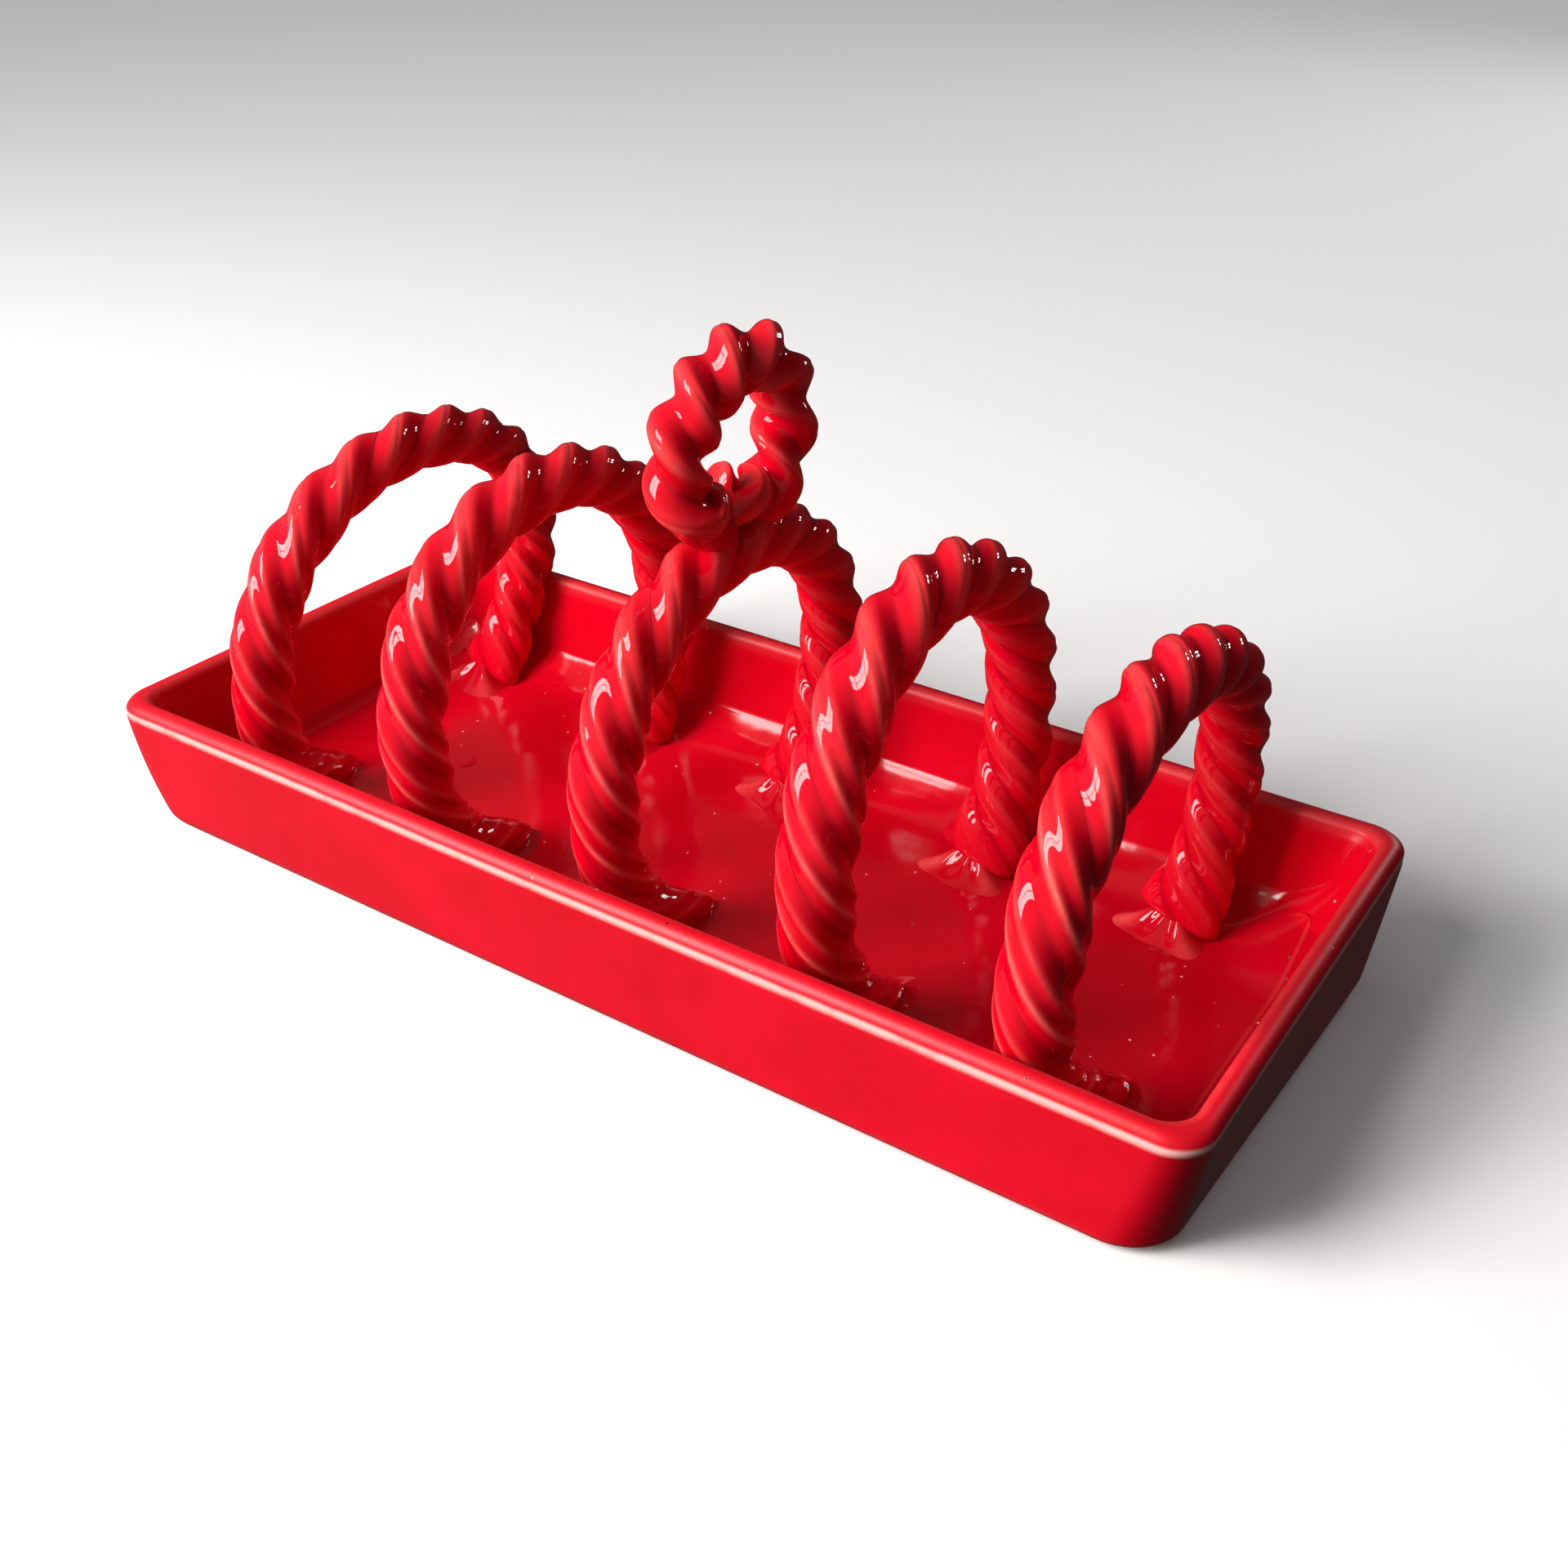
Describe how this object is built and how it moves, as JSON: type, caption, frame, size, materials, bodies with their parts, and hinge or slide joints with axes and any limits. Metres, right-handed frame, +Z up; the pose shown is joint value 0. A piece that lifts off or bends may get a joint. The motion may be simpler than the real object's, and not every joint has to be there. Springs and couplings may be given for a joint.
{
  "type": "toast rack",
  "caption": "Red-glazed ceramic toast rack: a flared rectangular tray with twisted rope arches across it and a twisted ring handle on the middle arch.",
  "frame": {"origin": "centre of the tray's flat underside, on the table", "axes": "+X along the tray, across the toast slots; +Y across the tray, along each arch; +Z up"},
  "size_m": [0.2392, 0.1052, 0.115],
  "materials": {
    "tray_glaze": "glossy",
    "rope_glaze": "glossy"
  },
  "bodies": {
    "root": {"tray": "tray_glaze", "arch_one_coil_a": "rope_glaze", "arch_one_coil_b": "rope_glaze", "arch_one_coil_c": "rope_glaze", "arch_one_pad_near": "rope_glaze", "arch_one_pad_far": "rope_glaze", "arch_two_coil_a": "rope_glaze", "arch_two_coil_b": "rope_glaze", "arch_two_coil_c": "rope_glaze", "arch_two_pad_near": "rope_glaze", "arch_two_pad_far": "rope_glaze", "arch_three_coil_a": "rope_glaze", "arch_three_coil_b": "rope_glaze", "arch_three_coil_c": "rope_glaze", "arch_three_pad_near": "rope_glaze", "arch_three_pad_far": "rope_glaze", "arch_four_coil_a": "rope_glaze", "arch_four_coil_b": "rope_glaze", "arch_four_coil_c": "rope_glaze", "arch_four_pad_near": "rope_glaze", "arch_four_pad_far": "rope_glaze", "arch_five_coil_a": "rope_glaze", "arch_five_coil_b": "rope_glaze", "arch_five_coil_c": "rope_glaze", "arch_five_pad_near": "rope_glaze", "arch_five_pad_far": "rope_glaze", "ring_coil_a": "rope_glaze", "ring_coil_b": "rope_glaze"}
  },
  "joints": []
}
